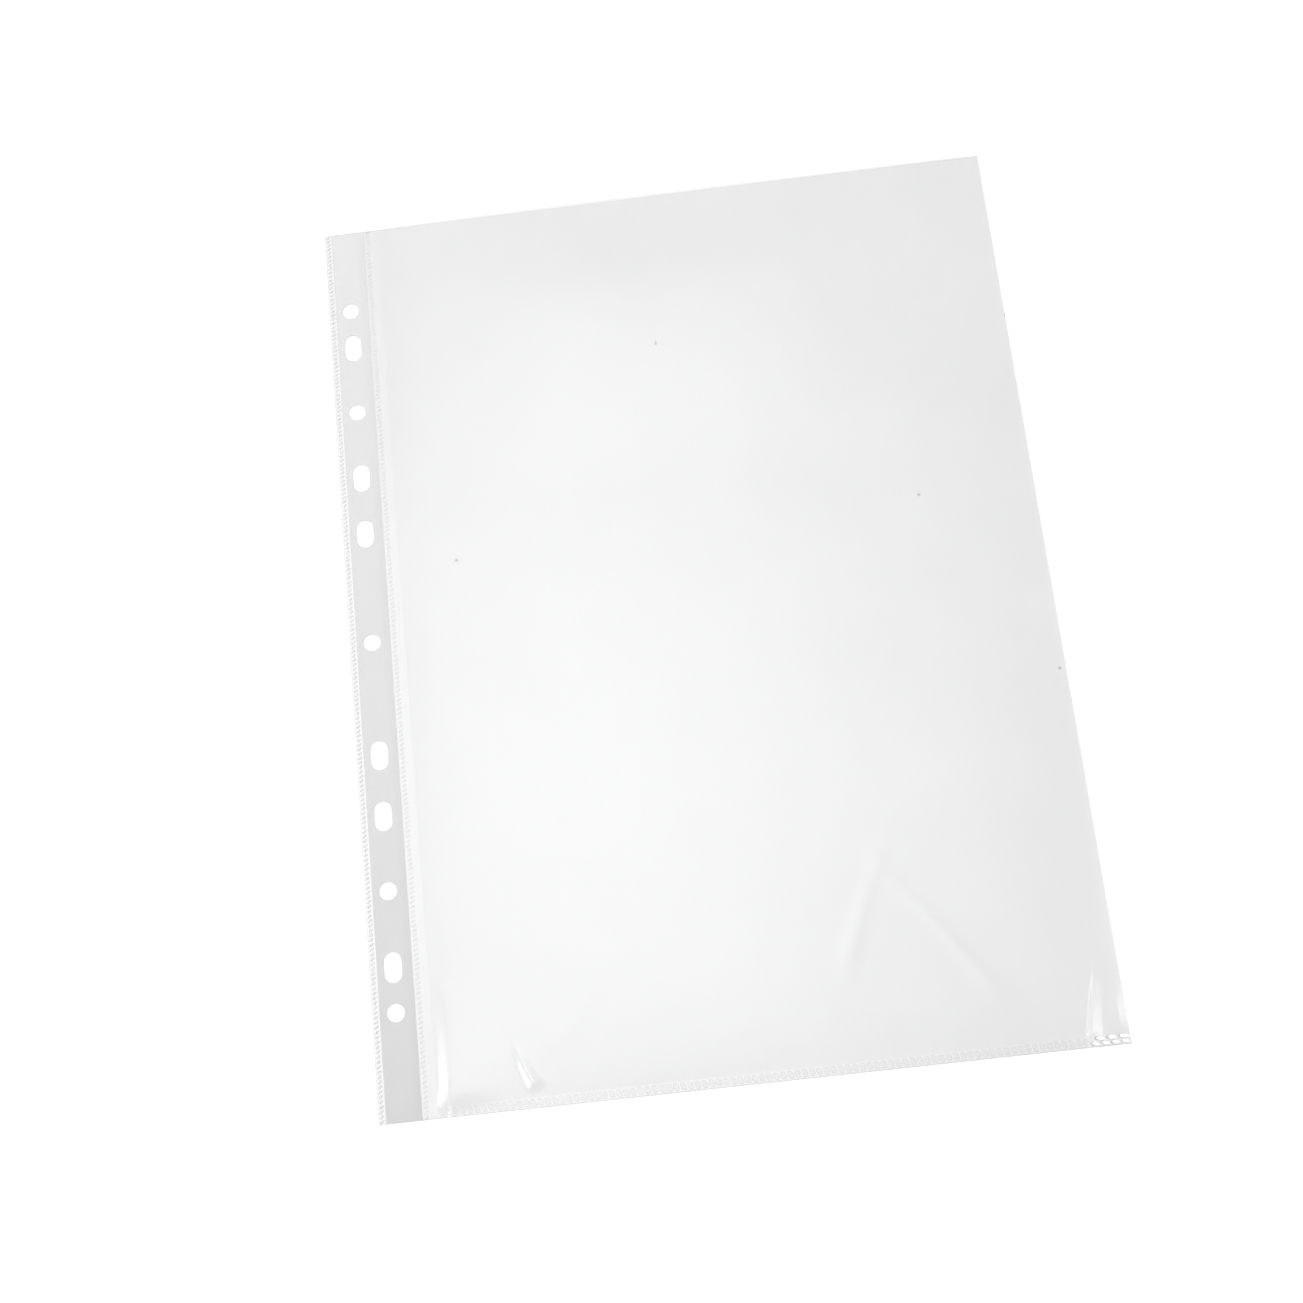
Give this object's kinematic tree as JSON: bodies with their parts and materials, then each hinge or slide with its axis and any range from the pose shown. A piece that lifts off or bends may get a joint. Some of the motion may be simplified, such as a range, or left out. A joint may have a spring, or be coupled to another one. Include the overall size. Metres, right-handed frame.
{
  "type": "sheet protector",
  "caption": "Clear punched pocket for A4 sheets: a folded film envelope, open at the top and welded along its other edges, with a reinforced binding strip holed for ring binders.",
  "frame": {"origin": "underside of the back wall, under the middle of the sheet", "axes": "+X from the binding strip to the folded edge, +Y from the bottom weld to the open mouth, +Z out of the front wall"},
  "size_m": [0.23, 0.303, 0.0003],
  "materials": {
    "clear_film": "clear glossy polypropylene film with a faint haze",
    "tape": "milky white satin polypropylene tape",
    "weld": "fused clear film, embossed as a fine rope"
  },
  "bodies": {
    "binding": {"binding_strip": "tape", "back_margin_film": "clear_film", "front_margin_film": "clear_film", "outer_edge_weld": "weld", "inner_edge_weld": "weld"},
    "pocket": {"back_crease_film": "clear_film", "front_crease_film": "clear_film", "back_film": "clear_film", "side_fold": "clear_film", "bottom_weld": "weld"},
    "front": {"front_film": "clear_film"}
  },
  "joints": [
    {"name": "page_turn", "type": "hinge", "parent": "binding", "child": "pocket", "pos_m": [-0.0976, 0, 0.00014], "axis": [0, -1, 0], "range_deg": [-90, 90], "deforming": ["back_crease_film", "front_crease_film"]},
    {"name": "mouth_open", "type": "hinge", "parent": "pocket", "child": "front", "pos_m": [0, -0.1481, 0.0002], "axis": [1, 0, 0], "range_deg": [0, 3], "stiffness_Nm_per_rad": 0.02}
  ]
}
